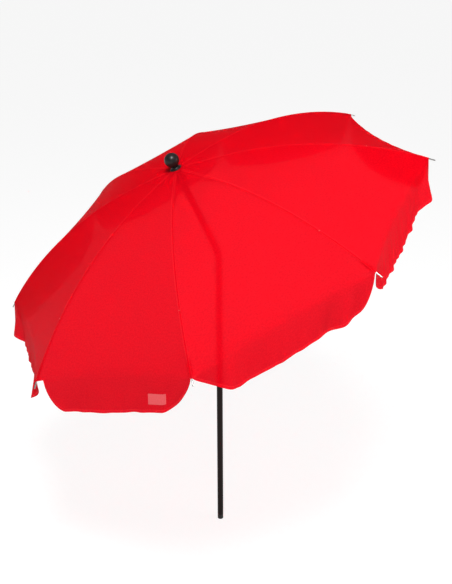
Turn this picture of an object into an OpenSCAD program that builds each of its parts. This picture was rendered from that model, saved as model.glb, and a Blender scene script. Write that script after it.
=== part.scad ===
// Garden parasol with a tilting canopy and no stand.
// Eight steel ribs hinge on a notched crown, and eight stretchers push them up from a notched
// runner that slides on the pole. A clamped knuckle in the pole lets the canopy lean.
//
// The origin is the middle of the pole's foot, with +Z up the lower pole.
// The canopy leans towards -X, about a bolt that lies along Y.

/* [Pole] */
// Outer diameter of the pole tubes
pole_d = 25; // [22:0.5:30]
// Wall of the pole tubes
pole_wall = 1.2; // [0.8:0.1:2]
// Height of the tilt bolt over the foot
tilt_height = 1220; // [900:10:1600]
// Height of the foot cap's rim below the tube
foot_rim = 22; // [12:1:40]
// Length of the foot cap's plug inside the tube
foot_plug = 26; // [15:1:50]

/* [Tilt joint] */
// Angle that the canopy leans from upright
lean = 26.4; // [10:0.2:30]
// Diameter of the tilt bolt
bolt_d = 8; // [6:0.5:9]
// Thickness of the tongue between the fork's ears
tongue_w = 8; // [6:0.5:10]
// Thickness of each friction washer
friction_washer_t = 0.8; // [0.5:0.1:1.2]
// Length of the knuckle plugs inside the tubes
knuckle_plug = 34; // [25:1:60]
// Length of the clamp knob along the bolt
knob_l = 16; // [14:1:24]

/* [Crown and runner] */
// Height of the rib hinges over the tilt bolt
crown_z = 394; // [380:2:480]
// Radius of the wire rings that the ribs and stretchers hinge on
ring_r = 20; // [19:0.5:24]
// Diameter of the ring wire
ring_wire_d = 2.4; // [2:0.1:3]
// Width of the slots that the ribs and stretchers swing in
slot_w = 6; // [5.8:0.1:6.6]
// Length of the runner's grip below its ring
grip_l = 20; // [17:1:30]

/* [Ribs] */
// Number of ribs, and so of canopy panels
ribs = 8; // [6:1:8]
// Diameter of the rib rod
rib_d = 5; // [4:0.1:5.2]
// Radius that the ribs are bent to
rib_bend = 1400; // [1200:10:1800]
// Reach of the rib tips from the pole's axis
tip_r = 905; // [800:5:1000]
// Length of rod left bare past the canopy's corners
bare_tip = 22; // [10:1:40]
// Turn of the first rib from the way that the canopy leans
rib_turn = 11.1; // [8:0.1:16]

/* [Stretchers] */
// Length of a stretcher between its hinges, and of the rib from its hinge to the bracket
stretcher_l = 184; // [120:1:190]
// Diameter of the stretcher rod
stretcher_d = 4.5; // [3.5:0.1:5]
// Drop of the bracket's rivet below the middle of the rib rod
bracket_drop = 9; // [8.5:0.1:14]
// Thickness of the bracket's sheet
bracket_t = 1.3; // [1:0.1:1.6]

/* [Canopy] */
// Drop of the valance below the canopy's edge
valance_h = 120; // [60:5:180]
// Radius of the valance's rounded corners beside the rib tips
valance_corner = 62; // [30:1:90]
// Distance that tension pulls the canopy's edge inwards midway between two ribs
edge_pull = 30; // [0:1:40]
// Thickness of the canopy cloth with its hems
cloth_t = 1; // [0.8:0.1:2]
// Rise of the cloth from the ribs to the crown's top
crown_lift = 6.5; // [5:0.5:7]

/* [Finial] */
// Diameter of the finial ball
ball_d = 57; // [45:1:65]
// Radius of the collar's skirt under the ball
collar_r = 23; // [18:0.5:25]
// Height of the collar
collar_h = 10.5; // [8:0.5:14]

/* [Fits] */
// Gap all round between the runner and the pole
runner_fit = 0.4; // [0.3:0.05:0.6]
// Gap all round between a plug and its tube
plug_fit = 0.1; // [0.05:0.05:0.2]
// Gap all round in a hinge eye
eye_fit = 0.35; // [0.3:0.05:0.5]
// Gap between the cloth and what it lies on
cloth_gap = 0.35; // [0.3:0.05:0.5]

/* [Hidden] */
$fn = 48;

rib_step = 360 / ribs;
half_step = rib_step / 2;
pole_r = pole_d / 2;
tube_r = pole_r - pole_wall;
plug_r = tube_r - plug_fit;
over = 1;                            // how far a cutter runs past what it cuts

// Tilt knuckle: everything lies within the pole's own diameter, so the runner passes over it.
knuckle_r = pole_r - 0.2;
shoulder_gap = pole_r + 0.8;         // from the bolt's axis to each shoulder
shoulder_t = 3;
bolt_fit = 0.15;
tongue_h = tongue_w / 2;
washer_fit = 0.05;
ear_in = tongue_h + friction_washer_t + washer_fit;
ear_out = pole_r - 1.5;
pin_d = 4;
pin_z = shoulder_gap + shoulder_t + knuckle_plug / 2;
bolt_head_t = 3.5;
bolt_washer_t = 1.5;
knob_r = 12;
knob_lobe_r = 3.2;
knob_lobes = 6;
knob_nut_l = 8;
tilt_play = 0.1;                     // gap between the knob's face and its washer

// Crown and runner: two notched hubs with the same ring and slots.
hub_r = ring_r + 7;
hub_below = 7;                       // hub's rim below its ring, on the closed side
hub_above = 5.2;                     // slot's depth past its ring, on the closed side
neck_r = pole_r + 4.5;
crown_neck = 26;                     // crown's skirt below its ring
crown_seat = crown_z + 5;            // the tube's end inside the crown
slot_in = ring_r - 5.1;
eye_r = 4.5;
eye_t = 4.4;
ring_fit = 0.1;
runner_cuff = 9;                     // runner above its ring
grip_flange = 4;
grip_r = neck_r + 4;
screw_d = 5;
screw_head_r = 6.5;
screw_drop = hub_below + screw_head_r + 2;   // thumb screw below the runner's ring
screw_boss_r = neck_r + 2.5;
screw_turn = rib_turn + half_step;

// Ribs: an arc that starts level at its hinge.
rib_arc = asin((tip_r - ring_r) / rib_bend);
corner_arc = rib_arc - bare_tip / rib_bend * 180 / PI;
corner_r = ring_r + rib_bend * sin(corner_arc);
rib_nose = 1.5;

// Stretchers: each triangle of hinge, bracket and runner has two equal sides, so a stretcher
// turns as far as its rib, and the runner stays on the pole.
link_r = rib_bend - bracket_drop;
link_arc = acos((pow(link_r, 2) + pow(rib_bend, 2) - pow(stretcher_l, 2))
                / (2 * link_r * rib_bend));
bracket_x = ring_r + link_r * sin(link_arc);
bracket_z = crown_z - rib_bend + link_r * cos(link_arc);
open_angle = asin((crown_z - bracket_z) / stretcher_l);
runner_z = crown_z - 2 * stretcher_l * sin(open_angle);
rivet_d = 3;
rivet_fit = 0.2;
rivet_head_t = 1.1;
bracket_gap = rib_d + 0.1;
bracket_w = bracket_gap + 2 * bracket_t;
bracket_half_l = 7;
bracket_nose = 4.8;

// Canopy: each panel is the cloth that one rib carries, halfway to the ribs on either side.
panel_in = ring_r + 6;
lift_out = 160;
seam_gap = 0.15;
notch_half = 4;                      // half the notch that lets the rib's tip through
notch_drop = cloth_t / 2;
pull_drop = 0.8;                     // share of the pull that the valance gains in depth
radial_steps = 12;
side_steps = 7;
corner_chord = 2 * corner_r * sin(half_step);
flat_sag = pow((corner_r - panel_in) / radial_steps, 2) / (8 * rib_bend);   // of a flat facet

// Crown's top and finial.
crown_top = cloth_z(panel_in) + cloth_t + cloth_gap;
cap_t = 1;
cap_hole_r = 3.3;
cap_r = ring_r + 18;
finial_bolt_d = 6;
bolt_hole_r = finial_bolt_d / 2 + 0.1;
collar_z = crown_top + cap_t;
collar_neck_r = 13;
ball_z = collar_z + collar_h + sqrt(pow(ball_d / 2, 2) - pow(collar_neck_r - 1, 2));

// ---- Places ----

// The part that leans, with its own Z up the upper pole from the tilt bolt.
module leaning() {
    translate([0, 0, tilt_height]) rotate([0, -lean, 0]) children();
}

function rib_angle(k) = 180 + rib_turn + rib_step * (k - 1);

// A rib's plane: X is outwards along the rib, and Z is up the upper pole.
module at_rib(k) {
    leaning() rotate([0, 0, rib_angle(k)]) children();
}

// A cylinder along Y, centred on it.
module cross_rod(r, l) {
    rotate([90, 0, 0]) cylinder(r = r, h = l, center = true);
}

// ---- Lower pole ----

module tube(z0, z1) {
    translate([0, 0, z0]) difference() {
        cylinder(r = pole_r, h = z1 - z0);
        translate([0, 0, -over]) cylinder(r = tube_r, h = z1 - z0 + 2 * over);
    }
}

module pin_hole(z) {
    translate([0, 0, z]) rotate([0, 90, 0])
        cylinder(r = pin_d / 2 + plug_fit, h = 2 * pole_r + 2 * over, center = true);
}

// A rolled pin that ends just inside the surface, so that the runner slides over it.
module rolled_pin(z, l) {
    translate([0, 0, z]) rotate([0, 90, 0]) difference() {
        cylinder(d = pin_d, h = l, center = true);
        cylinder(d = pin_d - 1.6, h = l + over, center = true);
    }
}

module lower_pole() {
    color("#2a211f") difference() {
        tube(foot_rim, tilt_height - shoulder_gap - shoulder_t);
        pin_hole(tilt_height - pin_z);
    }
}

// Moulded cap: a rim as wide as the tube, and a hollow plug with gripping rings inside it.
module foot_cap() {
    rim_r = pole_r - 0.2;
    edge = 1.5;
    ring_depth = 0.5;
    wall = 2.4;
    color("#25201e") rotate_extrude() polygon([
        [0, 0], [rim_r - edge, 0], [rim_r, edge], [rim_r, foot_rim],
        [plug_r - ring_depth, foot_rim],
        each [for (n = [0:2]) each [
            [plug_r - ring_depth, foot_rim + foot_plug * (n + 0.4) / 3.6],
            [plug_r, foot_rim + foot_plug * (n + 0.6) / 3.6],
            [plug_r, foot_rim + foot_plug * (n + 0.9) / 3.6],
            [plug_r - ring_depth, foot_rim + foot_plug * (n + 1) / 3.6]]],
        [plug_r - ring_depth, foot_rim + foot_plug - edge],
        [plug_r - ring_depth - edge, foot_rim + foot_plug],
        [plug_r - ring_depth - wall, foot_rim + foot_plug],
        [plug_r - ring_depth - wall, foot_rim / 2], [0, foot_rim / 2]]);
}

// ---- Tilt joint ----

// Plug and shoulder that both halves of the knuckle share, for a tube above the bolt.
module knuckle_plug() {
    lead = 2;
    difference() {
        union() {
            translate([0, 0, shoulder_gap]) cylinder(r = pole_r, h = shoulder_t);
            translate([0, 0, shoulder_gap + shoulder_t]) {
                cylinder(r = plug_r, h = knuckle_plug - lead);
                translate([0, 0, knuckle_plug - lead])
                    cylinder(r1 = plug_r, r2 = plug_r - lead, h = lead);
            }
        }
        pin_hole(pin_z);
    }
}

// Round-ended outline of the ears and the tongue, seen along the bolt.
module knuckle_outline() {
    circle(r = knuckle_r);
    translate([-knuckle_r, 0]) square([2 * knuckle_r, shoulder_gap]);
}

// A slab of that outline between two heights along Y, rounded to the knuckle's own radius.
module knuckle_slab(y0, y1) {
    intersection() {
        translate([0, y1, 0]) rotate([90, 0, 0]) linear_extrude(y1 - y0) knuckle_outline();
        translate([0, 0, -pole_d]) cylinder(r = knuckle_r, h = 2 * pole_d);
    }
}

module tilt_fork() {
    color("#1d1c1c") translate([0, 0, tilt_height]) mirror([0, 0, 1]) difference() {
        union() {
            knuckle_plug();
            knuckle_slab(ear_in, ear_out);
            knuckle_slab(-ear_out, -ear_in);
        }
        cross_rod(bolt_d / 2 + bolt_fit, pole_d + 2 * over);
    }
}

module tilt_tongue() {
    color("#1d1c1c") leaning() difference() {
        union() {
            knuckle_plug();
            knuckle_slab(-tongue_h, tongue_h);
        }
        cross_rod(bolt_d / 2 + bolt_fit, pole_d + 2 * over);
    }
}

module fork_pin() {
    color("silver") rolled_pin(tilt_height - pin_z, pole_d - 0.6);
}

module tongue_pin() {
    color("silver") leaning() rolled_pin(pin_z, pole_d - 0.6);
}

module friction_washers() {
    color("ivory") leaning() for (side = [-1, 1])
        translate([0, side * (tongue_h + friction_washer_t / 2), 0]) difference() {
            cross_rod(knuckle_r - 2, friction_washer_t);
            cross_rod(bolt_d / 2 + bolt_fit, friction_washer_t + over);
        }
}

// Domed bolt, its head on the fork's -Y ear and its thread in the knob.
module tilt_bolt() {
    head_r = bolt_d * 0.95;
    color("silver") translate([0, -ear_out, tilt_height]) rotate([90, 0, 0]) {
        rotate_extrude() polygon([
            [0, 0], [head_r, 0], [head_r, bolt_head_t * 0.4],
            [head_r * 0.8, bolt_head_t * 0.8], [head_r * 0.5, bolt_head_t], [0, bolt_head_t]]);
        mirror([0, 0, 1])
            cylinder(d = bolt_d, h = 2 * ear_out + bolt_washer_t + tilt_play + knob_nut_l + 1);
    }
}

module bolt_washer() {
    color("silver") translate([0, ear_out + bolt_washer_t / 2, tilt_height]) difference() {
        cross_rod(bolt_d * 0.95, bolt_washer_t);
        cross_rod(bolt_d / 2 + bolt_fit, bolt_washer_t + over);
    }
}

// Frame of the knob: its Z runs out along the bolt from the washer.
module at_knob() {
    translate([0, ear_out + bolt_washer_t + tilt_play, tilt_height]) rotate([-90, 0, 0])
        children();
}

knob_nut_r = bolt_d / 2 + 2;

module clamp_knob() {
    core_r = knob_r - knob_lobe_r;
    crown_edge = 1.2;
    color("#1d1c1c") at_knob() difference() {
        union() {
            cylinder(r = core_r, h = knob_l - crown_edge);
            translate([0, 0, knob_l - crown_edge])
                cylinder(r1 = core_r, r2 = core_r - crown_edge, h = crown_edge);
            for (n = [1:knob_lobes]) rotate([0, 0, n * 360 / knob_lobes])
                translate([knob_r - knob_lobe_r, 0, 2])
                    cylinder(r = knob_lobe_r, h = knob_l - 2 - crown_edge);
        }
        translate([0, 0, -over]) cylinder(r = knob_nut_r, h = knob_nut_l + over);
        cylinder(r = bolt_d / 2 + bolt_fit, h = knob_nut_l + 3);
    }
}

module knob_nut() {
    color("goldenrod") at_knob() difference() {
        cylinder(r = knob_nut_r, h = knob_nut_l);
        translate([0, 0, -over]) cylinder(r = bolt_d / 2 + bolt_fit, h = knob_nut_l + 2 * over);
    }
}

// ---- Upper pole and crown ----

module upper_pole() {
    color("#2a211f") leaning() difference() {
        tube(shoulder_gap + shoulder_t, crown_seat);
        pin_hole(pin_z);
        pin_hole(crown_z - crown_neck / 2 - 4);
    }
}

// Slots round a notched hub, open towards +Z if up is 1 and towards -Z if it is -1.
module hub_slots(up) {
    for (k = [1:ribs]) rotate([0, 0, rib_angle(k)])
        translate([slot_in, -slot_w / 2, up > 0 ? -hub_above : -2 * hub_r + hub_above])
            cube([hub_r, slot_w, 2 * hub_r]);
}

// Channel through the hub's teeth that holds the wire ring.
module ring_channel() {
    rotate_extrude() translate([ring_r, 0]) circle(d = ring_wire_d + 2 * ring_fit, $fn = 24);
}

module wire_ring() {
    rotate_extrude() translate([ring_r, 0]) circle(d = ring_wire_d, $fn = 24);
}

module crown() {
    bore = pole_r + plug_fit;
    shoulder = hub_r - 5;
    color("#1d1c1c") leaning() difference() {
        rotate_extrude() polygon([
            [bore, crown_z - crown_neck], [neck_r - 1, crown_z - crown_neck],
            [neck_r, crown_z - crown_neck + 1], [neck_r, crown_z - hub_below - 4],
            [hub_r - 3, crown_z - hub_below], [hub_r, crown_z - hub_below + 2],
            [hub_r, crown_seat + 1], [shoulder, crown_top], [bolt_hole_r, crown_top],
            [bolt_hole_r, crown_seat], [bore, crown_seat]]);
        translate([0, 0, crown_z]) {
            hub_slots(-1);
            ring_channel();
        }
        translate([0, 0, crown_z - crown_neck / 2 - 4]) rotate([0, 90, 0])
            cylinder(r = pin_d / 2 + plug_fit, h = 2 * neck_r + 2 * over, center = true);
    }
}

module crown_ring() {
    color("silver") leaning() translate([0, 0, crown_z]) wire_ring();
}

module crown_pin() {
    color("silver") leaning() rolled_pin(crown_z - crown_neck / 2 - 4, 2 * neck_r - 0.6);
}

// ---- Finial ----

// Bolt from inside the tube's end, up through the crown, the cap and the collar to the ball.
module finial_bolt() {
    head_t = 4;
    color("silver") leaning() {
        translate([0, 0, crown_seat - head_t]) cylinder(r = finial_bolt_d, h = head_t, $fn = 6);
        translate([0, 0, crown_seat - 0.5])
            cylinder(d = finial_bolt_d, h = ball_z - crown_seat + 0.5);
    }
}

// Round patch that covers the panels' inner ends.
module canopy_cap() {
    edge = cloth_z(cap_r) + cloth_t + 2 * cloth_gap;
    color("crimson") leaning() rotate_extrude() polygon([
        [cap_hole_r, crown_top], [panel_in, crown_top], [cap_r, edge],
        [cap_r, edge + cap_t], [panel_in, crown_top + cap_t], [cap_hole_r, crown_top + cap_t]]);
}

module finial_collar() {
    rim = 2.5;
    color("#1b1b1c") leaning() rotate_extrude() polygon([
        [bolt_hole_r, collar_z], [collar_r, collar_z], [collar_r, collar_z + rim],
        each [for (a = [15:15:75])
            [collar_neck_r + (collar_r - collar_neck_r) * (1 - sin(a)),
             collar_z + collar_h - (collar_h - rim) * cos(a)]],
        [collar_neck_r, collar_z + collar_h], [bolt_hole_r, collar_z + collar_h]]);
}

module finial_ball() {
    color("#1b1b1c") leaning() difference() {
        translate([0, 0, ball_z]) sphere(d = ball_d, $fn = 64);
        translate([0, 0, collar_z + collar_h - ball_d])
            cylinder(r = ball_d, h = ball_d);
        translate([0, 0, collar_z + collar_h - over])
            cylinder(r = bolt_hole_r, h = ball_z - collar_z - collar_h + over + 1);
    }
}

// ---- Runner ----

module runner() {
    bore = pole_r + runner_fit;
    foot = -hub_below - grip_l;
    color("#1d1c1c") leaning() translate([0, 0, runner_z]) difference() {
        union() {
            rotate_extrude() polygon([
                [bore, foot], [grip_r - 1, foot], [grip_r, foot + 1],
                [grip_r, foot + grip_flange - 1], [grip_r - 1, foot + grip_flange],
                [neck_r, foot + grip_flange + 2], [neck_r, -hub_below - 2],
                [hub_r - 2, -hub_below], [hub_r, -hub_below + 2], [hub_r, hub_above - 1],
                [hub_r - 1, hub_above], [neck_r, hub_above], [neck_r, runner_cuff - 1],
                [neck_r - 1, runner_cuff], [bore, runner_cuff]]);
            rotate([0, 0, 180 + screw_turn]) translate([pole_r + 2, 0, -screw_drop])
                rotate([0, 90, 0]) cylinder(d = screw_d + 5, h = screw_boss_r - pole_r - 2);
        }
        hub_slots(1);
        ring_channel();
        rotate([0, 0, 180 + screw_turn]) translate([0, 0, -screw_drop]) rotate([0, 90, 0])
            cylinder(r = screw_d / 2 + plug_fit, h = hub_r);
    }
}

module runner_ring() {
    color("silver") leaning() translate([0, 0, runner_z]) wire_ring();
}

// Thumb screw that clamps the runner. At rest its end is just clear of the pole.
module runner_screw() {
    head_t = 3.4;
    clear = 0.3;
    stem = screw_boss_r + 1 - pole_r - clear;
    color("#1d1c1c") leaning() rotate([0, 0, 180 + screw_turn])
        translate([pole_r + clear, 0, runner_z - screw_drop]) rotate([0, 90, 0]) {
            cylinder(d = screw_d, h = stem + 1);
            translate([0, 0, stem]) cylinder(r = screw_head_r - 2, h = 2);
            translate([-screw_head_r, -head_t / 2, stem + 1])
                cube([2 * screw_head_r, head_t, 9]);
        }
}

// ---- Ribs and stretchers ----

module hinge_eye(r, t) {
    cross_rod(r, t);
}

module rib(k) {
    color("silver") at_rib(k) difference() {
        union() {
            translate([ring_r, 0, crown_z - rib_bend]) rotate([90, 0, 0])
                rotate([0, 0, 90 - rib_arc]) {
                    rotate_extrude(angle = rib_arc, $fn = 720) translate([rib_bend, 0])
                        circle(d = rib_d, $fn = 24);
                    translate([rib_bend, 0, 0]) rotate([90, 0, 0])
                        cylinder(d1 = rib_d, d2 = rib_d / 2, h = rib_nose);
                }
            translate([ring_r, 0, crown_z]) hinge_eye(eye_r, eye_t);
        }
        translate([ring_r, 0, crown_z])
            cross_rod(ring_wire_d / 2 + eye_fit, rib_d + 2 * over);
    }
}

// Side outline of a bracket: straps along the rod, narrowing to the rivet.
module bracket_outline() {
    top = rib_d / 2 - 0.6;
    polygon([[-bracket_half_l, top], [bracket_half_l, top],
             [bracket_half_l, -rib_d / 2 - bracket_t],
             [bracket_nose, -bracket_drop], [-bracket_nose, -bracket_drop],
             [-bracket_half_l, -rib_d / 2 - bracket_t]]);
    translate([0, -bracket_drop]) circle(r = bracket_nose);
}

// A pressed channel on the rib, with a web under the rod, and the rivet through its ears.
module rib_bracket(k) {
    color("dimgray") at_rib(k)
        translate([ring_r, 0, crown_z - rib_bend]) rotate([0, link_arc, 0])
            translate([0, 0, rib_bend]) {
                difference() {
                    rotate([90, 0, 0]) linear_extrude(bracket_w, center = true)
                        bracket_outline();
                    translate([-bracket_half_l - over, -bracket_gap / 2, -bracket_gap / 2])
                        cube([2 * bracket_half_l + 2 * over, bracket_gap, rib_d + over]);
                    translate([-bracket_half_l - over, -bracket_gap / 2,
                               -bracket_drop - bracket_nose - over])
                        cube([2 * bracket_half_l + 2 * over, bracket_gap,
                              bracket_drop + bracket_nose + over
                              - bracket_gap / 2 - bracket_t]);
                    translate([0, 0, -bracket_drop]) cross_rod(rivet_d / 2 + 0.05, bracket_w + over);
                }
                translate([0, 0, -bracket_drop]) {
                    cross_rod(rivet_d / 2, bracket_w + 2 * rivet_head_t);
                    for (side = [-1, 1])
                        translate([0, side * (bracket_w + rivet_head_t) / 2, 0])
                            cross_rod(rivet_d * 0.85, rivet_head_t);
                }
            }
}

module stretcher(k) {
    color("silver") at_rib(k) translate([ring_r, 0, runner_z]) rotate([0, -open_angle, 0])
        difference() {
            union() {
                rotate([0, 90, 0]) cylinder(d = stretcher_d, h = stretcher_l, $fn = 24);
                hinge_eye(eye_r, stretcher_d - 0.4);
                translate([stretcher_l, 0, 0]) hinge_eye(eye_r - 0.8, stretcher_d - 0.4);
            }
            cross_rod(ring_wire_d / 2 + eye_fit, rib_d + 2 * over);
            translate([stretcher_l, 0, 0])
                cross_rod(rivet_d / 2 + rivet_fit, rib_d + 2 * over);
        }
}

// ---- Canopy ----

function rib_z(r) = crown_z - rib_bend + sqrt(pow(rib_bend, 2) - pow(r - ring_r, 2));
function rib_cos(r) = sqrt(1 - pow((r - ring_r) / rib_bend, 2));

// Underside of the cloth over a rib, at r from the axis.
function cloth_z(r) = rib_z(r) + (rib_d / 2 + cloth_gap + flat_sag) / rib_cos(r)
    + crown_lift * pow(max(0, 1 - (r - panel_in) / (lift_out - panel_in)), 2);

// Distances along the canopy's edge from the rib to the middle of a panel, closer at the rib.
function station(i) = i == 0 ? 0
    : notch_half * pow(corner_chord / 2 / notch_half, (i - 1) / (side_steps - 1));

// How far the tension pulls the edge inwards at a distance along it from the rib's tip.
function pull_at(d) = edge_pull * (1 - pow(1 - d / (corner_chord / 2), 2));

// Depth of the valance there. It hangs lower where its edge is pulled in.
function valance_drop(d) = notch_drop + (valance_h + pull_drop * pull_at(d) - notch_drop)
    * sqrt(1 - pow(1 - min(1, max(0, d - notch_half) / valance_corner), 2));

function radius_at(i) = panel_in + (corner_r - panel_in) * i / radial_steps;

// A point of the underside: across from this rib to the next on the given side.
function cloth_point(r, d, side) = let (
    half = r * sin(half_step),
    along = d / (corner_chord / 2) * (half - seam_gap),
    pull = pull_at(d) * pow(r / corner_r, 2),
    inwards = along * sin(half_step) + pull * cos(half_step),
    across = along * cos(half_step) - pull * sin(half_step))
    [r - inwards, side * across, cloth_z(r)];

// Straight down, as a rib's plane sees it while the canopy leans.
function plumb(a) = [-sin(lean) * cos(a), sin(lean) * sin(a), -cos(lean)];

// One cross-section of a panel: along the top, down the valance, and back along the underside.
function panel_ring(j, a) = let (
    side = j < 0 ? -1 : 1,
    d = station(abs(j)),
    up = [0, 0, cloth_t],
    inward = j == 0 ? [-cloth_t, 0, 0]
        : cloth_t * [-cos(half_step), -side * sin(half_step), 0],
    edge = cloth_point(corner_r, d, side) + up,
    hem = edge + valance_drop(d) * plumb(a))
    [each [for (i = [0:radial_steps]) cloth_point(radius_at(i), d, side) + up],
     hem, hem + inward, cloth_point(corner_r - cloth_t, d, side),
     each [for (i = [radial_steps - 1:-1:0]) cloth_point(radius_at(i), d, side)]];

module canopy_panel(k) {
    count = 2 * radial_steps + 4;
    rings = 2 * side_steps;
    points = [for (j = [-side_steps:side_steps]) each panel_ring(j, rib_angle(k))];
    skin = [for (j = [0:rings - 1]) each [for (i = [0:count - 1]) let (
        a = j * count + i, b = j * count + (i + 1) % count) each [
            [a, b, b + count], [a, b + count, a + count]]]];
    function cap_face(i) = [i, i + 1, count - 2 - i, count - 1 - i];
    first = [for (i = [0:radial_steps + 1]) let (q = cap_face(i)) each [
        [q[0], q[2], q[1]], [q[0], q[3], q[2]]]];
    last = [for (i = [0:radial_steps + 1]) let (q = [for (v = cap_face(i)) v + rings * count])
        each [[q[0], q[1], q[2]], [q[0], q[2], q[3]]]];
    color("crimson") at_rib(k) polyhedron(points, concat(skin, first, last), convexity = 4);
}

// ---- Nodes ----

lower_pole();
foot_cap();
tilt_fork();
fork_pin();
tilt_bolt();
bolt_washer();
clamp_knob();
knob_nut();
upper_pole();
tilt_tongue();
tongue_pin();
friction_washers();
crown();
crown_ring();
crown_pin();
finial_bolt();
finial_collar();
finial_ball();
canopy_cap();
runner();
runner_ring();
runner_screw();
for (k = [1:ribs]) {
    rib(k);
    rib_bracket(k);
    stretcher(k);
    canopy_panel(k);
}
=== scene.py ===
import math

import bpy
import numpy as np
from mathutils import Matrix, Vector


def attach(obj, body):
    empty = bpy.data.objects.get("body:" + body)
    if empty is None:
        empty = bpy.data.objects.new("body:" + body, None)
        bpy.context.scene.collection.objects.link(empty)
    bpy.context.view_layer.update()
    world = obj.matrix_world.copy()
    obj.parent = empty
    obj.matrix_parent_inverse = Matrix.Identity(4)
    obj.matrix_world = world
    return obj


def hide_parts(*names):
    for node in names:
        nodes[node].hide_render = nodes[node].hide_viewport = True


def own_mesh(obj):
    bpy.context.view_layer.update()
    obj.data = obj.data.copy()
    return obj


# Frame: the parasol's hard parts, put together and standing with the pole's foot at the
# origin. Each section below finishes the parts that it names, or adds its own cloth to them.
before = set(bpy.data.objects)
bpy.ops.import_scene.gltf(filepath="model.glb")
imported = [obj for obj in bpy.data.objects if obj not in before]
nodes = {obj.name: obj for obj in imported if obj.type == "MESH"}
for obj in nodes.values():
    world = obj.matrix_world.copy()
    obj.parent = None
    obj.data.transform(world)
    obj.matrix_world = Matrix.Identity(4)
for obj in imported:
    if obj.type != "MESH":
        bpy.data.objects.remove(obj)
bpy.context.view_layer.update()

# Camera: a little above the canopy's edge and to its left, level from side to side.
EYE = Vector((-1.631, -3.109, 2.318))
LOOK = Vector((0.4524, 0.8261, -0.3376))
LENS, SHIFT_X = 56.96, -0.0149
camera = bpy.data.objects.new("camera", bpy.data.cameras.new("camera"))
camera.data.lens = LENS
camera.data.shift_x = SHIFT_X
camera.location = EYE
camera.rotation_euler = LOOK.to_track_quat("-Z", "Y").to_euler()
bpy.context.collection.objects.link(camera)
bpy.context.scene.camera = camera

# Studio: a pale floor under an even white room, which glows a little so that it stays white,
# with one wide soft key high beside the camera and a weaker fill low on the other side.
ROOM_LIGHT, FLOOR_GLOW = 0.20, 0.88
FLOOR_SIZE, FLOOR_GREY, WHITE = 400, (0.22, 0.22, 0.22, 1), (1, 1, 1, 1)
# Each soft box: its name, its place, where it is aimed, its side in metres and its watts.
SOFT_BOXES = (
    ("front_key", (-1.5, -2.9, 5.8), (-0.1, -0.1, 1.4), 1.6, 385),
    ("side_fill", (3.4, -2.6, 1.9), (0.3, -0.1, 1.4), 1.8, 70),
)
bpy.context.scene.view_settings.view_transform = "Standard"
room = bpy.data.worlds.new("room")
bpy.context.scene.world = room
room.use_nodes = True
room_light = room.node_tree.nodes["Background"]
room_light.inputs["Color"].default_value = WHITE
room_light.inputs["Strength"].default_value = ROOM_LIGHT
for name, place, aim, side, power in SOFT_BOXES:
    lamp = bpy.data.lights.new(name, "AREA")
    lamp.size = side
    lamp.energy = power
    light = bpy.data.objects.new(name, lamp)
    light.location = place
    light.rotation_euler = (Vector(aim) - Vector(place)).to_track_quat("-Z", "Y").to_euler()
    bpy.context.collection.objects.link(light)
bpy.ops.mesh.primitive_plane_add(size=FLOOR_SIZE)
floor = bpy.context.object
floor.name = "floor"
floor_paint = bpy.data.materials.new("floor_paint")
floor_paint.use_nodes = True
floor_shader = floor_paint.node_tree.nodes["Principled BSDF"]
floor_shader.inputs["Base Color"].default_value = FLOOR_GREY
floor_shader.inputs["Roughness"].default_value = 1.0
floor_shader.inputs["Specular IOR Level"].default_value = 0.0
floor_shader.inputs["Emission Color"].default_value = WHITE
floor_shader.inputs["Emission Strength"].default_value = FLOOR_GLOW
floor.data.materials.append(floor_paint)


# Pole: two steel tubes, 25 mm across, powder coated a dark brown that is nearly black.
# The coat has a fine orange peel, and handling has rubbed it a little lighter in long streaks.
PAINT, RUBBED_PAINT = (0.0095, 0.0052, 0.0046), (0.0165, 0.0100, 0.0090)
STREAKS = (1, 1, 0.25)


class Wire:
    """A socket's value in a node tree, with Python's arithmetic."""

    def __init__(self, tree, socket):
        self.tree, self.socket = tree, socket

    def maths(self, how, first, second=0.0):
        node = self.tree.nodes.new("ShaderNodeMath")
        node.operation = how
        for entry, value in zip(node.inputs, (first, second)):
            if isinstance(value, Wire):
                self.tree.links.new(value.socket, entry)
            else:
                entry.default_value = value
        return Wire(self.tree, node.outputs[0])

    def __add__(self, other):
        return self.maths("ADD", self, other)

    def __sub__(self, other):
        return self.maths("SUBTRACT", self, other)

    def __rsub__(self, other):
        return self.maths("SUBTRACT", other, self)

    def __mul__(self, other):
        return self.maths("MULTIPLY", self, other)

    def __lt__(self, other):
        return self.maths("LESS_THAN", self, other)

    def __mod__(self, other):
        return self.maths("FLOORED_MODULO", self, other)

    def __abs__(self):
        return self.maths("ABSOLUTE", self)

    def sine(self):
        return self.maths("SINE", self)

    __radd__, __rmul__ = __add__, __mul__


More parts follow.
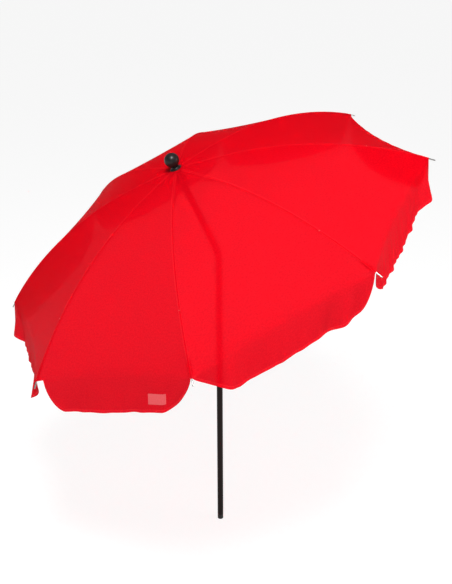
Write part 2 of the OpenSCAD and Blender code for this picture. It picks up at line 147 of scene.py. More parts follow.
class Finish:
    """A material in the making: its shader, and one method that adds any node."""

    def __init__(self, name):
        self.material = bpy.data.materials.new(name)
        self.material.use_nodes = True
        self.tree = self.material.node_tree
        self.shader = self.tree.nodes["Principled BSDF"]

    def node(self, kind, settings=None, out=0, **sockets):
        made = self.tree.nodes.new("ShaderNode" + kind)
        for key, value in (settings or {}).items():
            setattr(made, key, value)
        for key, value in sockets.items():
            entry = int(key[1:]) if key[0] == "_" else key.replace("_", " ")
            self.put(made.inputs[entry], value)
        return Wire(self.tree, made.outputs[out])

    def put(self, socket, value):
        if isinstance(value, Wire):
            self.tree.links.new(value.socket, socket)
        else:
            socket.default_value = value

    def sets(self, **sockets):
        for key, value in sockets.items():
            self.put(self.shader.inputs[key.replace("_", " ")], value)

    def place(self):
        """The place on the part, which stays with it as it moves."""
        return self.node("TexCoord", out=3)

    def scaled(self, way, at=None):
        return self.node("VectorMath", {"operation": "MULTIPLY"}, _0=at or self.place(), _1=way)

    def noise(self, scale, detail=3.0, at=None):
        return self.node("TexNoise", Scale=scale, Detail=detail, Vector=at or self.place())

    def map(self, title):
        return self.node("UVMap", {"uv_map": title})

    def part(self, vector, axis):
        return self.node("SeparateXYZ", out=axis, _0=vector)

    def mixed(self, mask, low, high):
        return self.node("Mix", {"data_type": "RGBA"}, out=2, _0=mask, _6=low, _7=high)

    def tone(self, mask, low, high):
        return self.mixed(mask, (*low, 1), (*high, 1))

    def bump(self, height, depth, strength=1.0):
        return self.node("Bump", Strength=strength, Distance=depth, Height=height)

    def dress(self, names):
        for name in names:
            nodes[name].data.materials.clear()
            nodes[name].data.materials.append(self.material)


pole_paint = Finish("pole_paint")
rubbed = pole_paint.noise(scale=60, at=pole_paint.scaled(STREAKS))
peel = pole_paint.noise(scale=900, detail=2)
pole_paint.sets(
    Base_Color=pole_paint.tone(rubbed, PAINT, RUBBED_PAINT),
    Roughness=rubbed * 0.2 + 0.34,
    Specular_IOR_Level=0.12,
    Normal=pole_paint.bump(peel, depth=0.0002, strength=0.5),
)
pole_paint.dress(["lower_pole", "upper_pole"])


# Black mouldings: the foot cap, crown, runner, clamp knob and thumb screw, all moulded in
# one black plastic, with a fine spark-eroded texture that is scuffed a little grey.
PLASTIC, SCUFFED_PLASTIC = (0.014, 0.013, 0.0125), (0.026, 0.0245, 0.0235)
moulding = Finish("black_moulding")
grain = moulding.noise(scale=1500, detail=2)
scuff = moulding.noise(scale=45, detail=5)
moulding.sets(
    Base_Color=moulding.tone(scuff, PLASTIC, SCUFFED_PLASTIC),
    Roughness=scuff * 0.25 + 0.42,
    Specular_IOR_Level=0.3,
    Normal=moulding.bump(grain, depth=0.00015, strength=0.6),
)
moulding.dress(["foot_cap", "crown", "runner", "clamp_knob", "runner_screw"])


# Tilt knuckle: a fork and a tongue, cast in metal and painted black over their sandy skin.
# Each is pinned in the end of its tube, and the M8 tilt bolt clamps them together.
CAST_PAINT, WORN_CAST = (0.014, 0.0135, 0.013), (0.05, 0.048, 0.046)
casting = Finish("knuckle_casting")
skin = casting.noise(scale=420, detail=6)
worn = casting.noise(scale=70, detail=4) * 1.4 - 0.2
casting.sets(
    Base_Color=casting.tone(worn, CAST_PAINT, WORN_CAST),
    Roughness=skin * 0.25 + 0.4,
    Metallic=0.15,
    Normal=casting.bump(skin, depth=0.0004, strength=0.5),
)
casting.dress(["tilt_fork", "tilt_tongue"])


# Pins, bolts and wire rings: plain steel, turned or drawn, and zinc plated with a cloudy
# bloom. They hold the knuckle, crown and finial, and the rods hinge on the two rings.
ZINC, BRIGHT_ZINC = (0.46, 0.46, 0.45), (0.68, 0.68, 0.66)
zinc = Finish("zinc_steel")
bloom = zinc.noise(scale=160, detail=5)
zinc.sets(
    Base_Color=zinc.tone(bloom, ZINC, BRIGHT_ZINC),
    Metallic=1.0,
    Roughness=bloom * 0.25 + 0.22,
    Normal=zinc.bump(zinc.noise(scale=1200, detail=2), depth=0.0001, strength=0.4),
)
zinc.dress(["fork_pin", "tongue_pin", "crown_pin", "tilt_bolt", "bolt_washer", "finial_bolt"])
zinc.dress(["crown_ring", "runner_ring"])


# Knob nut: a threaded brass insert, moulded into the clamp knob. It runs on the tilt bolt,
# and its bare face is tarnished in patches.
TARNISHED, BRASS = (0.50, 0.33, 0.11), (0.78, 0.56, 0.24)
brass = Finish("knob_brass")
tarnish = brass.noise(scale=240, detail=4)
brass.sets(
    Base_Color=brass.tone(tarnish, TARNISHED, BRASS),
    Metallic=1.0,
    Roughness=tarnish * 0.3 + 0.2,
)
brass.dress(["knob_nut"])


# Friction washers: a pair stamped from off-white nylon sheet, one on each side of the
# knuckle's tongue, which keep the painted castings apart.
NYLON, PALE_NYLON = (0.68, 0.66, 0.58), (0.80, 0.78, 0.71)
nylon = Finish("nylon")
nylon.sets(
    Base_Color=nylon.tone(nylon.noise(scale=200, detail=3), NYLON, PALE_NYLON),
    Roughness=0.55,
    Subsurface_Weight=0.1,
)
nylon.dress(["friction_washers"])


# Ribs and stretchers: drawn steel rod, silver grey, with a fine grain and dull spots. Their
# ends are pressed flat and drilled for the rings and the rivets.
RIBS = range(1, 9)
DULL_STEEL, STEEL = (0.30, 0.29, 0.28), (0.52, 0.51, 0.50)
GRAIN = (1, 1, 0.15)
steel = Finish("rib_steel")
drawn = steel.noise(scale=700, detail=2, at=steel.scaled(GRAIN))
dull = steel.noise(scale=35, detail=5)
steel.sets(
    Base_Color=steel.tone(dull, DULL_STEEL, STEEL),
    Metallic=1.0,
    Roughness=dull * 0.2 + 0.25,
    Normal=steel.bump(drawn, depth=0.0001, strength=0.4),
)
steel.dress([f"rib_{k}" for k in RIBS] + [f"stretcher_{k}" for k in RIBS])


# Rib brackets: sheet steel, pressed and folded round each rib, slightly darker than the rods
# and worn bright in spots. The stretcher hinges on the bracket's rivet.
DARK_SHEET, WORN_SHEET = (0.28, 0.28, 0.28), (0.52, 0.52, 0.51)
pressed = Finish("bracket_steel")
wear = pressed.noise(scale=260, detail=5)
pressed.sets(
    Base_Color=pressed.tone(wear, DARK_SHEET, WORN_SHEET),
    Metallic=1.0,
    Roughness=wear * 0.25 + 0.3,
    Normal=pressed.bump(wear, depth=0.0001, strength=0.5),
)
pressed.dress([f"rib_bracket_{k}" for k in RIBS])


# Canopy: eight gores of woven polyester, sewn along the ribs into one sheet that stretches
# over them, with the valance hanging plumb from its edge. A felled seam stands over each
# rib, and each strip below carries the cloth on one rib, halfway to its neighbours.
TILT_BOLT, LEAN = Vector((0, 0, 1.220)), math.radians(26.4)
LEANING = Matrix.Translation(TILT_BOLT) @ Matrix.Rotation(-LEAN, 4, "Y")
PLUMB = np.array(LEANING.to_3x3().inverted() @ Vector((0, 0, -1)))
UP = np.array((0.0, 0.0, 1.0))     # along the pole, as the canopy is laid out before it leans
FIRST_RIB, STEP = math.radians(191.1), math.radians(45)
CROWN_Z, RING_R = 0.394, 0.020     # the ribs' hinges: above the tilt bolt, and off the axis
RIB_BEND, ROD_R = 1.400, 0.0025    # radii of a rib's curve and of its rod
CLOTH_IN, CORNER_R = 0.026, 0.8883  # where the cloth starts, and its corners, from the axis
CLOTH, CLEAR = 0.0009, 0.00081     # the cloth's thickness, and its gap over the rods
LIFT, LIFT_R = 0.0065, 0.160       # how far the crown lifts the cloth, and out to where
PULL = 0.030                       # how far tension draws mid-edge in
PULL_DROP = 0.8                    # share of that by which the valance is deeper there
SEAM_HALF, SEAM_RISE = 0.006, 0.0008    # half the seam's width, and its height
SEAM_SIDE, SEAM_END = 0.0016, 0.010     # its sloping sides, and where it ends before a corner
HEM, HEM_RISE, HEM_SIDE = 0.012, 0.0005, 0.002
HEM_FADE = 0.03                    # depth of valance below which the hem thins out
VALANCE = 0.120                    # depth of the valance
NOTCH, NOTCH_DROP = 0.004, 0.0006  # half the gap at a corner, and the cloth that is left there
WIDE = 2 * CORNER_R * math.sin(STEP / 2)
# The valance after each rib: its corner there and its corner at the next rib, each as width
# and fullness, with its own notch where it has one; its folds, each as place, width and how
# far it stands out; and the count and depth of its gathers.
VALANCES = [
    ((0.085, 1.6, 0.034), (0.125, 1.6),
     [(0.22, 0.07, -0.005), (0.45, 0.10, 0.005), (0.62, 0.06, -0.004), (0.88, 0.04, -0.008)],
     5, 0.0016),
    ((0.180, 1.22), (0.060, 1.9),
     [(0.055, 0.04, -0.012), (0.20, 0.055, 0.024), (0.50, 0.10, 0.006), (0.76, 0.04, -0.014),
      (0.84, 0.03, 0.014), (0.91, 0.03, -0.012)],
     7, 0.0022),
    ((0.120, 1.5), (0.050, 2.0),
     [(0.06, 0.06, -0.010), (0.50, 0.34, 0.026), (0.70, 0.05, 0.006), (0.920, 0.055, 0.036)],
     9, 0.0046),
    ((0.070, 2.0), (0.070, 2.0), [(0.25, 0.07, 0.010), (0.60, 0.10, -0.010)], 9, 0.0035),
    ((0.070, 2.0), (0.070, 2.0), [(0.35, 0.09, -0.010), (0.72, 0.08, 0.010)], 8, 0.0035),
    ((0.070, 2.0), (0.070, 2.0), [(0.28, 0.08, 0.010), (0.66, 0.08, -0.010)], 9, 0.0035),
    ((0.070, 2.0), (0.070, 2.0), [(0.30, 0.08, -0.010), (0.70, 0.09, 0.010)], 9, 0.0035),
    ((0.050, 2.0), (0.125, 1.6),
     [(0.085, 0.060, 0.024), (0.17, 0.04, -0.010), (0.45, 0.15, 0.006), (0.84, 0.08, 0.026),
      (0.97, 0.05, -0.016)],
     8, 0.0036),
]
# Gathers: two slow waves make them wander, a finer set lies between them, and all of them
# fade towards the ribs.
SLOW_WAVE, QUICK_WAVE = (1.7, 5.1), (0.9, 11.3)    # each as size and half waves over a gore
FINE_SHARE, FINE_RATE, FINE_LAG = 0.6, 1.62, 2
GATHER_SHARE, GATHER_FADE = 0.62, 0.5
# Pleats round the crown and strain lines along the edge: height, count in a gore and place.
PLEAT_H, PLEATS, PLEAT_R, PLEAT_W = 0.0020, 3, 0.085, 0.028
STRAIN_H, STRAINS, STRAIN_FROM, STRAIN_OVER = 0.0009, 8, 0.82, 0.18
# The grid of a strip. Its columns stand at shares of the gore's width, closer over the seam,
# and its rows lie closer within TURN of the edge, where the cloth turns into the valance.
OVER_SEAM = [0, 0.0035, 0.0055, 0.0075, 0.0105, 0.016, 0.022]
SIDE = np.concatenate([OVER_SEAM, np.linspace(0.03, 0.5, 54)])
ACROSS = np.concatenate([-SIDE[:0:-1], SIDE])
TURN, ROWS_IN, ROWS_TURN, ROWS_DOWN = 0.034, 64, 8, 27
RUNS = np.concatenate([
    np.linspace(CLOTH_IN, CORNER_R - TURN, ROWS_IN),
    np.linspace(CORNER_R - TURN, CORNER_R, ROWS_TURN)[1:],
    CORNER_R + np.linspace(0, 1, ROWS_DOWN)[1:],
])
EDGE_ROW = ROWS_IN + ROWS_TURN - 2
# The turn's rounding: rows above and below the edge, passes, and the depth of valance that
# gets all of it.
ROUND_ABOVE, ROUND_BELOW, ROUNDINGS, ROUND_DEPTH = 6, 8, 14, 0.05
SLIVER = 1e-9                      # a face smaller than this has no direction of its own


def rib_height(r):
    return CROWN_Z - RIB_BEND + np.sqrt(RIB_BEND**2 - (r - RING_R) ** 2)


def cloth_height(r):
    slope = np.sqrt(1 - ((r - RING_R) / RIB_BEND) ** 2)
    lift = LIFT * np.maximum(0, 1 - (r - CLOTH_IN) / (LIFT_R - CLOTH_IN)) ** 2
    return rib_height(r) + (ROD_R + CLEAR) / slope + lift + CLOTH


def rib_way(k):
    turn = FIRST_RIB + STEP * (k - 1)
    return np.array([math.cos(turn), math.sin(turn), 0.0])


def round_corner(away, width, fullness, notch=NOTCH):
    into = np.clip((away - notch) / width, 0, 1)
    return (1 - (1 - into) ** fullness) ** (1 / fullness)


def valance_depth(gore, t):
    """Depth of the valance where t crosses the gore from rib to rib."""
    start, end = VALANCES[gore % len(VALANCES) - 1][:2]
    rounded = round_corner(t * WIDE, *start) * round_corner((1 - t) * WIDE, *end)
    full = VALANCE + PULL_DROP * PULL * (1 - (2 * t - 1) ** 2)
    return NOTCH_DROP + (full - NOTCH_DROP) * rounded


def valance_sway(gore, t):
    """How far the hem stands out from plumb, by its folds and its gathers."""
    folds, gathers, depth = VALANCES[gore % len(VALANCES) - 1][2:]
    sway = sum(out * np.exp(-(((t - at) / width) ** 2)) for at, width, out in folds)
    slow = SLOW_WAVE[0] * np.sin(SLOW_WAVE[1] * math.pi * t + gore)
    wander = slow + QUICK_WAVE[0] * np.sin(QUICK_WAVE[1] * math.pi * t + 2 * gore)
    wave = np.sin(math.tau * gathers * t + wander)
    fine = FINE_SHARE * np.sin(math.tau * gathers * FINE_RATE * t - wander + FINE_LAG)
    return sway + GATHER_SHARE * depth * (wave + fine) * np.sin(math.pi * t) ** GATHER_FADE


def gore_point(gore, t, run):
    """A point of the cloth: t crosses the gore from rib to rib, and run is the distance from
    the middle to the edge, then on down the valance as a share of its depth."""
    a, b = rib_way(gore), rib_way(gore + 1)
    middle = (a + b) / np.linalg.norm(a + b)
    r = np.clip(run, CLOTH_IN, CORNER_R)
    point = r[..., None] * ((1 - t)[..., None] * a + t[..., None] * b)
    bay = 1 - (2 * t - 1) ** 2
    point = point - (PULL * (r / CORNER_R) ** 2 * bay)[..., None] * middle
    round_crown = np.exp(-(((r - PLEAT_R) / PLEAT_W) ** 2)) * bay
    pleats = PLEAT_H * (1 + np.sin(PLEATS * math.tau * t + gore)) * round_crown
    along_edge = np.clip((r / CORNER_R - STRAIN_FROM) / STRAIN_OVER, 0, 1) ** 2 * bay
    strain = STRAIN_H * np.sin(STRAINS * math.tau * t + 2 * gore) * along_edge
    point[..., 2] = cloth_height(r) + pleats + strain
    share = np.maximum(run - CORNER_R, 0)
    depth = valance_depth(gore, t)
    out = middle - PLUMB * (middle @ PLUMB)
    out = out / np.linalg.norm(out)
    free = np.clip(depth / VALANCE, 0, 1)
    sway = valance_sway(gore, t) * share * free
    return point + (share * depth)[..., None] * PLUMB + sway[..., None] * out


def strip_grid(k):
    """The cloth that rib k carries, from mid-gore to mid-gore, with its turn rounded."""
    left, right = 1 - SIDE[:0:-1], SIDE
    halves = [gore_point(k - 1, *np.meshgrid(left, RUNS)), gore_point(k, *np.meshgrid(right, RUNS))]
    points = np.concatenate(halves, axis=1)
    depth = np.concatenate([valance_depth(k - 1, left), valance_depth(k, right)])
    hold = np.clip(depth / ROUND_DEPTH, 0, 1)[None, :, None]
    rounded = points.copy()
    top, low = EDGE_ROW - ROUND_ABOVE, EDGE_ROW + ROUND_BELOW
    for _ in range(ROUNDINGS):
        zone = rounded[top - 1 : low + 1]
        rounded[top:low] = (zone[:-2] + 2 * zone[1:-1] + zone[2:]) / 4
    return points * (1 - hold) + rounded * hold, depth


def surface_normals(points):
    """Unit normals of a grid of points, turned so that the first one points up."""
    n = np.cross(np.gradient(points, axis=1), np.gradient(points, axis=0))
    size = np.linalg.norm(n, axis=2, keepdims=True)
    n = n / np.maximum(size, SLIVER)
    if n[0, 0, 2] < 0:
        n = -n
    for row in range(1, len(n)):
        flat = size[row, :, 0] < SLIVER
        n[row, flat] = n[row - 1, flat]
    return n


# The cloth itself: a plain weave in bright red, with slubs and lighter stitches. Three maps
# lay out its weave, its distance from the seam over the rib, and its distance from the hem.
DEEP_RED, BRIGHT_RED = (0.62, 0.0004, 0.0060), (0.92, 0.0030, 0.0150)
STITCH_RED = (0.90, 0.035, 0.045, 1)
THREAD, WEAVE_COVER = 0.0011, 0.93    # the weave's pitch, and how much light each face stops
STITCH, STITCH_SHOWS, STITCH_HALF = 0.0035, 0.68, 0.0005    # length, share on top, half width
SEAM_ROW, HEM_ROW = 0.0042, 0.0095    # rows of stitches, from the seam's middle and the hem
FAR = 1.0                          # a distance in the maps with no seam or hem near it
red_cloth = Finish("red_cloth")
weave_uv, seam_uv, hem_uv = (red_cloth.map(title) for title in ("weave", "seam", "hem"))
warp, weft = red_cloth.part(weave_uv, 0), red_cloth.part(weave_uv, 1)
threads = (warp * (math.tau / THREAD)).sine() * (weft * (math.tau / THREAD)).sine()
WEFT_PICKS, WARP_PICKS = (1, 7, 1), (7, 1, 1)
weft_picks, warp_picks = (
    red_cloth.noise(scale=260, detail=3, at=red_cloth.scaled(way, at=weave_uv))
    for way in (WEFT_PICKS, WARP_PICKS)
)
slub = weft_picks * 1.5 + warp_picks * 1.5 - 1.0
mottle = red_cloth.noise(scale=170, detail=4, at=weave_uv) * 2.6 - 0.8
from_seam, along_seam = abs(red_cloth.part(seam_uv, 0)), red_cloth.part(seam_uv, 1)
along_hem, from_hem = red_cloth.part(hem_uv, 0), red_cloth.part(hem_uv, 1)


def stitches(across, row, along):
    return (abs(across - row) < STITCH_HALF) * ((along * (1 / STITCH)) % 1.0 < STITCH_SHOWS)


sewn = stitches(from_seam, SEAM_ROW, along_seam) + stitches(from_hem, HEM_ROW, along_hem)
doubled = (from_seam < SEAM_HALF) + (from_hem < HEM)
shade = mottle * 0.45 + slub * 0.55 + doubled * 0.25
red_cloth.sets(
    Base_Color=red_cloth.mixed(
        sewn * 0.85, red_cloth.tone(shade, DEEP_RED, BRIGHT_RED), STITCH_RED
    ),
    Roughness=mottle * 0.12 + 0.42,
    IOR=1.04,
    Specular_IOR_Level=0.35,
    Transmission_Weight=0.40,
    Alpha=WEAVE_COVER,
    Normal=red_cloth.bump(threads * 0.4 + slub * 0.8 + sewn * 1.2, depth=0.0003, strength=0.8),
)


def smooth_piece(name, points, faces, finish):
    """A smooth piece of one finish, from its points and faces as the parasol stands."""
    mesh = bpy.data.meshes.new(name)
    mesh.from_pydata(points, [], faces)
    mesh.polygons.foreach_set("use_smooth", [True] * len(mesh.polygons))
    mesh.materials.append(finish.material)
    piece = bpy.data.objects.new(name, mesh)
    bpy.context.collection.objects.link(piece)
    return piece


def cloth_piece(name, outer, inner, normals, maps, finish=red_cloth):
    """A closed shell of cloth: its outer grid, its inner grid, and the rims that join them."""
    rows, cols = outer.shape[:2]
    points = np.concatenate([outer.reshape(-1, 3), inner.reshape(-1, 3)])
    count = rows * cols
    index = np.arange(count).reshape(rows, cols)
    quads = [index[:-1, :-1], index[1:, :-1], index[1:, 1:], index[:-1, 1:]]
    quads = np.stack(quads, -1).reshape(-1, 4)
    rim = [*index[0, :], *index[1:, -1], *index[-1, -2::-1], *index[-2:0:-1, 0]]
    walls = [[a, b, b + count, a + count] for a, b in zip(rim, rim[1:] + rim[:1])]
    faces = quads.tolist() + (quads[:, ::-1] + count).tolist() + walls
    world = np.array(LEANING)
    standing = (points @ world[:3, :3].T + world[:3, 3]).tolist()
    piece = smooth_piece(name, standing, faces, finish)
    mesh = piece.data
    corner = np.empty(len(mesh.loops), int)
    mesh.loops.foreach_get("vertex_index", corner)
    for title, values in maps.items():
        layer = mesh.uv_layers.new(name=title)
        flat = np.concatenate([values.reshape(-1, 2)] * 2)
        layer.data.foreach_set("uv", flat[corner].ravel())
    facing = np.concatenate([normals.reshape(-1, 3), -normals.reshape(-1, 3)]) @ world[:3, :3].T
    mesh.normals_split_custom_set_from_vertices(facing.tolist())
    return piece


def tangent_of(k):
    return np.array(LEANING.to_3x3() @ Vector((-rib_way(k)[1], rib_way(k)[0], 0)))


def hinge_of(k):
    return LEANING @ Vector((*(rib_way(k)[:2] * RING_R), CROWN_Z))


undersides = {}
share, run = np.meshgrid(ACROSS, RUNS)
reach = np.minimum(run, CORNER_R)
chord = 2 * reach * math.sin(STEP / 2)
seam_bulk = np.clip((SEAM_HALF + SEAM_SIDE / 2 - np.abs(share) * chord) / SEAM_SIDE, 0, 1)
seam_bulk = seam_bulk * np.clip((CORNER_R - SEAM_END - run) / SEAM_END, 0, 1)
for k in RIBS:
    base, depth = strip_grid(k)
    normals = surface_normals(base)
    hung = np.maximum(run - CORNER_R, 0) * depth[None, :]
    to_hem = np.where(run >= CORNER_R, depth[None, :] - hung, FAR)
    hem_bulk = np.clip((HEM - to_hem) / HEM_SIDE, 0, 1)
    hem_bulk = hem_bulk * np.clip(depth[None, :] / HEM_FADE, 0, 1)
    outer = base + normals * (SEAM_RISE * seam_bulk + HEM_RISE * hem_bulk)[..., None]
    inner = base - normals * (CLOTH + HEM_RISE * hem_bulk)[..., None]
    undersides[k] = inner
    from_middle = (np.abs(share) - 0.5) * np.sign(share + SLIVER) * chord
    panel = cloth_piece(f"canopy_cloth_{k}", outer, inner, normals, {
        "weave": np.stack([from_middle, reach + hung], -1),
        "seam": np.stack([np.where(run > CORNER_R, FAR, share * chord), reach], -1),
        "hem": np.stack([share * WIDE, to_hem], -1),
    })
    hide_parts(f"canopy_panel_{k}")
    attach(panel, f"rib_{k}")
    joint = "fold" if k == 1 else f"rib_{k}_fold"
    tangent_of(k)
    hinge_of(k)
    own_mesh(panel)


# Crown patch: a round of doubled cloth, hemmed and stitched, between the canopy and the
# collar. It spreads the pull of the eight gores where they meet.
PATCH_R, PATCH_HOLE, PATCH_T = 0.038, 0.0033, 0.0010
PATCH_TURNS, PATCH_RINGS = 97, 14
FLAT_RISE, PATCH_RISE, RIPPLE = 0.00035, 0.0007, 0.00025
PATCH_HEM = 2.4                    # how many times narrower its hem is than the canopy's
turns = np.linspace(0, math.tau, PATCH_TURNS)
turns, rings = np.meshgrid(turns, np.linspace(PATCH_HOLE, PATCH_R, PATCH_RINGS))
flat_top = float(cloth_height(CLOTH_IN)) + FLAT_RISE
on_cloth = cloth_height(np.maximum(rings, CLOTH_IN)) + PATCH_RISE
patch_z = np.minimum(np.where(rings < CLOTH_IN, flat_top, on_cloth), flat_top)
patch_z = patch_z + RIPPLE * np.cos(len(RIBS) * (turns - FIRST_RIB))
patch_top = np.stack([rings * np.cos(turns), rings * np.sin(turns), patch_z + PATCH_T], -1)
patch_normals = surface_normals(patch_top)
patch_normals[:, 0] = patch_normals[:, -1]
patch = cloth_piece("crown_patch", patch_top, patch_top - UP * PATCH_T, patch_normals, {
    "weave": patch_top[..., :2],
    "seam": np.stack([np.full_like(rings, FAR), rings], -1),
    "hem": np.stack([rings * turns, (PATCH_R - rings) * PATCH_HEM], -1),
})
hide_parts("canopy_cap")
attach(patch, "upper_pole")


# Tip pockets: a sleeve of doubled cloth sewn under each corner, which the rod's end passes
# through, so that the canopy pulls on the rib and the bare tip stands out.
POCKET_T, POCKET_HALF, POCKET_COLS = 0.0006, 0.0155, 25    # half width as a share of a gore's
POCKET_ROWS = slice(EDGE_ROW - 8, EDGE_ROW)
POCKET_FLANGE, POCKET_EDGE = 0.006, 0.006    # where its flanges start, and its hem's lead
# The sleeve's section: how far it hangs below the cloth at each distance from the rib.
SLEEVE = ((0, 0.0015, 0.0025, 0.0032, 0.0038, 0.0046, 0.0060, 0.0105),
          (0.0071, 0.0066, 0.0058, 0.0044, 0.0024, 0.0008, 0.0003, 0.0002))
pocket_share = np.linspace(POCKET_HALF, -POCKET_HALF, POCKET_COLS)
pocket_reach = RUNS[POCKET_ROWS][:, None] + np.zeros(POCKET_COLS)
over = 2 * pocket_reach * math.sin(STEP / 2) * pocket_share
lean_in = (pocket_reach - RING_R) / RIB_BEND
from_mouth = np.minimum(pocket_reach - pocket_reach[0], pocket_reach[-1] - pocket_reach)
for k in RIBS:
    under = undersides[k][POCKET_ROWS]
    lines = [[np.interp(pocket_share, ACROSS, line[:, c]) for c in range(3)] for line in under]
    down = -lean_in[..., None] * rib_way(k) - np.sqrt(1 - lean_in**2)[..., None] * UP
    hang = np.interp(np.abs(over), *SLEEVE)[..., None]
    sleeve = np.array(lines).transpose(0, 2, 1) + down * hang
    facing = -surface_normals(sleeve)
    pocket = cloth_piece(f"tip_pocket_{k}", sleeve, sleeve - facing * POCKET_T, facing, {
        "weave": np.stack([over, pocket_reach], -1),
        "seam": np.stack([np.where(np.abs(over) > POCKET_FLANGE, SEAM_ROW, FAR), pocket_reach], -1),
        "hem": np.stack([over, from_mouth + POCKET_EDGE], -1),
    })
    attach(pocket, f"rib_{k}")


# Ties: two thirds of the way along each rib a loop of tape, sewn through the seam with a
# bar of light thread, holds the cloth down to the rod.
TIE_R, TIE_W, TIE_T = 0.690, 0.006, 0.0006    # distance from the pole, width and thickness
TIE_COLS, TIE_STEP, TIE_SINK = 5, 0.0012, 0.0004
# The loop, open at the top: its half width and half height, its points and its two ends.
LOOP_WIDE, LOOP_TALL, LOOP_POINTS = 0.0040, 0.0042, 19
LOOP_FROM, LOOP_TO = math.radians(60), math.radians(-240)
# The bar: its length, half width, half height and gap over the seam; its wraps; how much
# each wrap swells it, and how its ends taper.
BAR_L, BAR_W, BAR_H, BAR_OFF = 0.0085, 0.0009, 0.0005, 0.0001
BAR_WRAPS, BAR_ROUNDS, BAR_SIDES = 12, 4, 12
BAR_SWELL, BAR_TAPER, BAR_END = 0.16, 5, 0.35
THREAD_RED, PALE_THREAD = (0.72, 0.07, 0.08), (0.86, 0.16, 0.16)
tie_thread = Finish("tie_thread")
ply = tie_thread.noise(scale=2600, detail=2, at=tie_thread.scaled((1, 1, 0.3)))
tie_thread.sets(
    Base_Color=tie_thread.tone(ply, THREAD_RED, PALE_THREAD),
    Roughness=0.7,
    Normal=tie_thread.bump(ply, depth=0.0003, strength=0.8),
)


def at_tie(k):
    """The ways along, across and off rib k's rod where it is tied."""
    slope = (TIE_R - RING_R) / RIB_BEND
    level = math.sqrt(1 - slope**2)
    way = rib_way(k)
    return way * level - UP * slope, np.cross(UP, way), UP * level + way * slope


def tape_tie(k):
    """The loop of tape round the rod."""
    along, side, off = at_tie(k)
    centre = rib_way(k) * TIE_R + UP * float(rib_height(TIE_R))
    widths = [along * w for w in np.linspace(-TIE_W / 2, TIE_W / 2, TIE_COLS)]
    turns = np.linspace(LOOP_FROM, LOOP_TO, LOOP_POINTS)
    loop = [(LOOP_WIDE * math.cos(a), LOOP_TALL * math.sin(a)) for a in turns]
    tape = [[centre + side * x + off * (y - TIE_SINK) + w for x, y in loop] for w in widths]
    tape = np.array(tape)
    outward = tape - (centre + np.array(widths)[:, None])
    outward = outward / np.linalg.norm(outward, axis=2, keepdims=True)
    steps = np.arange(LOOP_POINTS) * TIE_STEP
    unsewn = np.full((TIE_COLS, LOOP_POINTS, 2), FAR)
    return cloth_piece(f"rib_tie_{k}", tape, tape - outward * TIE_T, outward, {
        "weave": np.stack(np.meshgrid(steps, np.linspace(0, TIE_W, TIE_COLS)), -1),
        "seam": unsewn,
        "hem": unsewn,
    })


def thread_bar(k):
    """The bar of thread over the seam: each wrap swells it, and its ends taper."""
    along, side, off = at_tie(k)
    top = rib_way(k) * TIE_R + UP * float(cloth_height(TIE_R))
    rounds = BAR_WRAPS * BAR_ROUNDS
    points = []
    for i in range(rounds + 1):
        u = i / rounds
        fat = 1 + BAR_SWELL * math.sin(math.tau * BAR_WRAPS * u)
        fat *= min(1, BAR_TAPER * min(u, 1 - u) + BAR_END)
        for a in np.linspace(0, math.tau, BAR_SIDES, endpoint=False):
            here = top + off * (SEAM_RISE + BAR_OFF + BAR_H * fat * math.sin(a))
            here = here + along * BAR_W * fat * math.cos(a) + side * (u - 0.5) * BAR_L
            points.append(LEANING @ Vector(here))
    faces = []
    for i in range(rounds):
        for j in range(BAR_SIDES):
            a, b = i * BAR_SIDES + j, i * BAR_SIDES + (j + 1) % BAR_SIDES
            faces.append((a, a + BAR_SIDES, b + BAR_SIDES, b))
    last = rounds * BAR_SIDES
    faces += [tuple(range(BAR_SIDES)), tuple(range(last + BAR_SIDES - 1, last - 1, -1))]
    return smooth_piece(f"tie_bar_{k}", points, faces, tie_thread)


for k in RIBS:
    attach(tape_tie(k), f"rib_{k}")
    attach(thread_bar(k), f"rib_{k}")


# Label: a plain woven satin patch in a lighter red, with nothing on it, sewn to the valance
# of the front gore near its right corner.
LABEL_AT, LABEL_DEEP = (0.722, 0.835), (0.50, 0.78)    # shares across the gore and down it
LABEL_T = 0.0005
LABEL_W, LABEL_H, LABEL_HEM = 0.085, 0.043, 0.0018
LABEL_COLS, LABEL_ROWS, SATIN = 30, 16, 0.0006
LABEL_RED, FADED_RED = (0.74, 0.055, 0.064), (0.84, 0.098, 0.110)
label_cloth = Finish("label_cloth")
label_weave = label_cloth.map("weave")
turned_in = label_cloth.part(label_cloth.map("hem"), 1) < LABEL_HEM
satin = (label_cloth.part(label_weave, 0) * (math.tau / SATIN)).sine()
fade = label_cloth.noise(scale=120, detail=4, at=label_weave)
label_cloth.sets(
    Base_Color=label_cloth.tone(fade * 0.7 + turned_in * 0.5, LABEL_RED, FADED_RED),
    Roughness=0.42,
    Specular_IOR_Level=0.35,
    Normal=label_cloth.bump(satin * 0.4 + turned_in, depth=0.0002, strength=0.7),
)
label_grid = np.meshgrid(
    np.linspace(*LABEL_AT, LABEL_COLS), CORNER_R + np.linspace(*LABEL_DEEP, LABEL_ROWS)
)
spread = gore_point(1, *label_grid)
label_out = surface_normals(spread)
label_out = label_out * np.sign((label_out @ (rib_way(1) + rib_way(2))).mean())
label_top = spread + label_out * (HEM_RISE + LABEL_T)
label_x, label_y = np.meshgrid(
    np.linspace(0, LABEL_W, LABEL_COLS), np.linspace(0, LABEL_H, LABEL_ROWS)
)
rim_gap = np.minimum(
    np.minimum(label_x, LABEL_W - label_x), np.minimum(label_y, LABEL_H - label_y)
)
label_maps = {
    "weave": np.stack([label_x, label_y], -1),
    "seam": np.full((*rim_gap.shape, 2), FAR),
    "hem": np.stack([label_x, rim_gap], -1),
}
label_under = label_top - label_out * LABEL_T
label = cloth_piece("label", label_top, label_under, label_out, label_maps, label_cloth)
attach(label, "rib_2")
tangent_of(2)
hinge_of(2)
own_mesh(label)


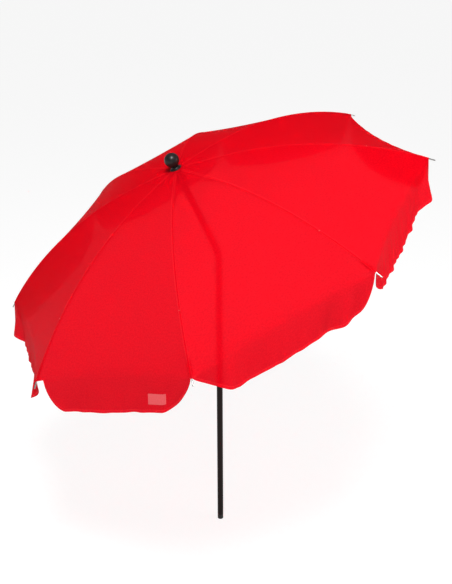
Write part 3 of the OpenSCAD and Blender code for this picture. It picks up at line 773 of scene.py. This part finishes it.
# Finial: a blow-moulded ball in half-gloss black, with the faint line of its mould, screwed
# down on a flared collar that clamps the crown patch.
FINIAL, FINIAL_FLOW = (0.008, 0.0075, 0.0075), (0.016, 0.015, 0.0145)
LINE_H, LINE_W = 0.00025, math.radians(1.6)    # the mould line's height and half width
BALL_POINTS, BALL_TOP, TURNED_STEPS = 80, 0.02, 96    # BALL_TOP closes the ball short of 90 deg
# The collar's outline, up its outside, as shares of its reach and of its height.
COLLAR = [(0.20, 0.0), (0.90, 0.0), (0.965, 0.015), (0.995, 0.06), (1.0, 0.11), (0.99, 0.16),
          (0.955, 0.20), (0.90, 0.24), (0.82, 0.31), (0.74, 0.41), (0.67, 0.53), (0.625, 0.66),
          (0.60, 0.78), (0.585, 0.86), (0.585, 0.93), (0.57, 0.985), (0.54, 1.0), (0.20, 1.0)]
finial_black = Finish("finial_black")
flow = finial_black.noise(scale=38, detail=4)
handling = finial_black.noise(scale=900, detail=2)
finial_black.sets(
    Base_Color=finial_black.tone(flow, FINIAL, FINIAL_FLOW),
    Roughness=flow * 0.14 + 0.28,
    Specular_IOR_Level=0.25,
    Normal=finial_black.bump(handling, depth=0.00006, strength=0.5),
)


def turned(name, outline):
    """A piece turned about the upper pole's axis, from its outline of radii and heights."""
    rings, steps = len(outline), TURNED_STEPS
    points = []
    for a in np.linspace(0, math.tau, steps, endpoint=False):
        points += [LEANING @ Vector((r * math.cos(a), r * math.sin(a), z)) for r, z in outline]
    faces = []
    for i in range(steps):
        here, beside = i * rings, (i + 1) % steps * rings
        faces += [(here + j, beside + j, beside + j + 1, here + j + 1) for j in range(rings - 1)]
    faces.append(tuple(i * rings for i in range(steps - 1, -1, -1)))
    faces.append(tuple(i * rings + rings - 1 for i in range(steps)))
    piece = smooth_piece(name, points, faces, finial_black)
    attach(piece, "upper_pole")
    return piece


def span_on_axis(node):
    """Heights of a part's lowest and highest point along the upper pole, and its reach."""
    back = LEANING.inverted()
    spots = np.array([back @ v.co for v in nodes[node].data.vertices])
    return spots[:, 2].min(), spots[:, 2].max(), np.hypot(spots[:, 0], spots[:, 1]).max()


ball_low, ball_high, ball_r = span_on_axis("finial_ball")
ball_mid = ball_high - ball_r
lowest = math.asin(max(-1, (ball_low - ball_mid) / ball_r))
ball_outline = []
for a in np.linspace(lowest, math.pi / 2 - BALL_TOP, BALL_POINTS):
    r = ball_r - LINE_H + LINE_H * math.exp(-((a / LINE_W) ** 2))
    ball_outline.append((r * math.cos(a), ball_mid + r * math.sin(a)))
finial_ball = turned("mould_ball", ball_outline)
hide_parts("finial_ball")

collar_low, collar_high, collar_reach = span_on_axis("finial_collar")
tall = collar_high - collar_low
collar_outline = [(r * collar_reach, collar_low + z * tall) for r, z in COLLAR]
finial_skirt = turned("finial_skirt", collar_outline)
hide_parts("finial_collar")
